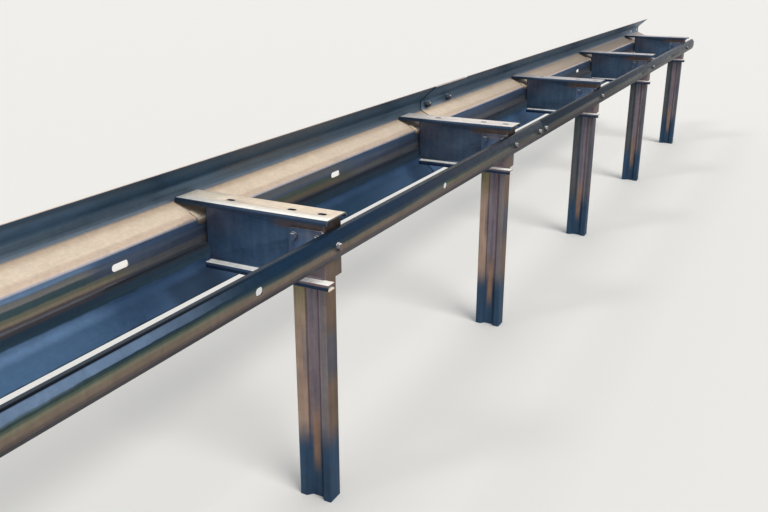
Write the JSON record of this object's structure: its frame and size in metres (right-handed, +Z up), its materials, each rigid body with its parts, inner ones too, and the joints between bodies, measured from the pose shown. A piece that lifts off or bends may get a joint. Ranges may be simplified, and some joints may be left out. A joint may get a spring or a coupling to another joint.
{
  "type": "highway guardrail section",
  "caption": "Galvanised steel road safety barrier section: two-wave front rail held off sigma posts by folded brackets with top straps, and a slim rear rail.",
  "frame": {"origin": "foot of the second post at ground level, in the middle of the floor of its groove", "axes": "+X along the road, the way the traffic on its side runs; +Y towards the road; +Z up"},
  "size_m": [8.32, 0.486, 0.9276],
  "materials": {
    "front_rail_zinc": "hot-dip galvanised, smooth, half gloss",
    "rear_rail_zinc": "hot-dip galvanised, smooth, half gloss",
    "sleeve_zinc": "hot-dip galvanised, smooth, half gloss",
    "post_zinc": "hot-dip galvanised, smooth, half gloss",
    "bracket_zinc": "hot-dip galvanised, smooth, half gloss",
    "washer_plate_zinc": "hot-dip galvanised, smooth, half gloss",
    "top_strap_zinc": "hot-dip galvanised, smooth, half gloss"
  },
  "bodies": {
    "root": {"front_rail_1": "front_rail_zinc", "rear_rail_1": "rear_rail_zinc", "front_rail_2": "front_rail_zinc", "rear_rail_2": "rear_rail_zinc", "rear_sleeve_1": "sleeve_zinc", "post_1": "post_zinc", "bracket_1": "bracket_zinc", "washer_plate_1": "washer_plate_zinc", "top_strap_1": "top_strap_zinc", "post_2": "post_zinc", "bracket_2": "bracket_zinc", "washer_plate_2": "washer_plate_zinc", "top_strap_2": "top_strap_zinc", "post_3": "post_zinc", "bracket_3": "bracket_zinc", "washer_plate_3": "washer_plate_zinc", "top_strap_3": "top_strap_zinc", "post_4": "post_zinc", "bracket_4": "bracket_zinc", "washer_plate_4": "washer_plate_zinc", "top_strap_4": "top_strap_zinc", "post_5": "post_zinc", "bracket_5": "bracket_zinc", "washer_plate_5": "washer_plate_zinc", "top_strap_5": "top_strap_zinc", "post_6": "post_zinc", "bracket_6": "bracket_zinc", "washer_plate_6": "washer_plate_zinc", "top_strap_6": "top_strap_zinc"}
  },
  "joints": []
}
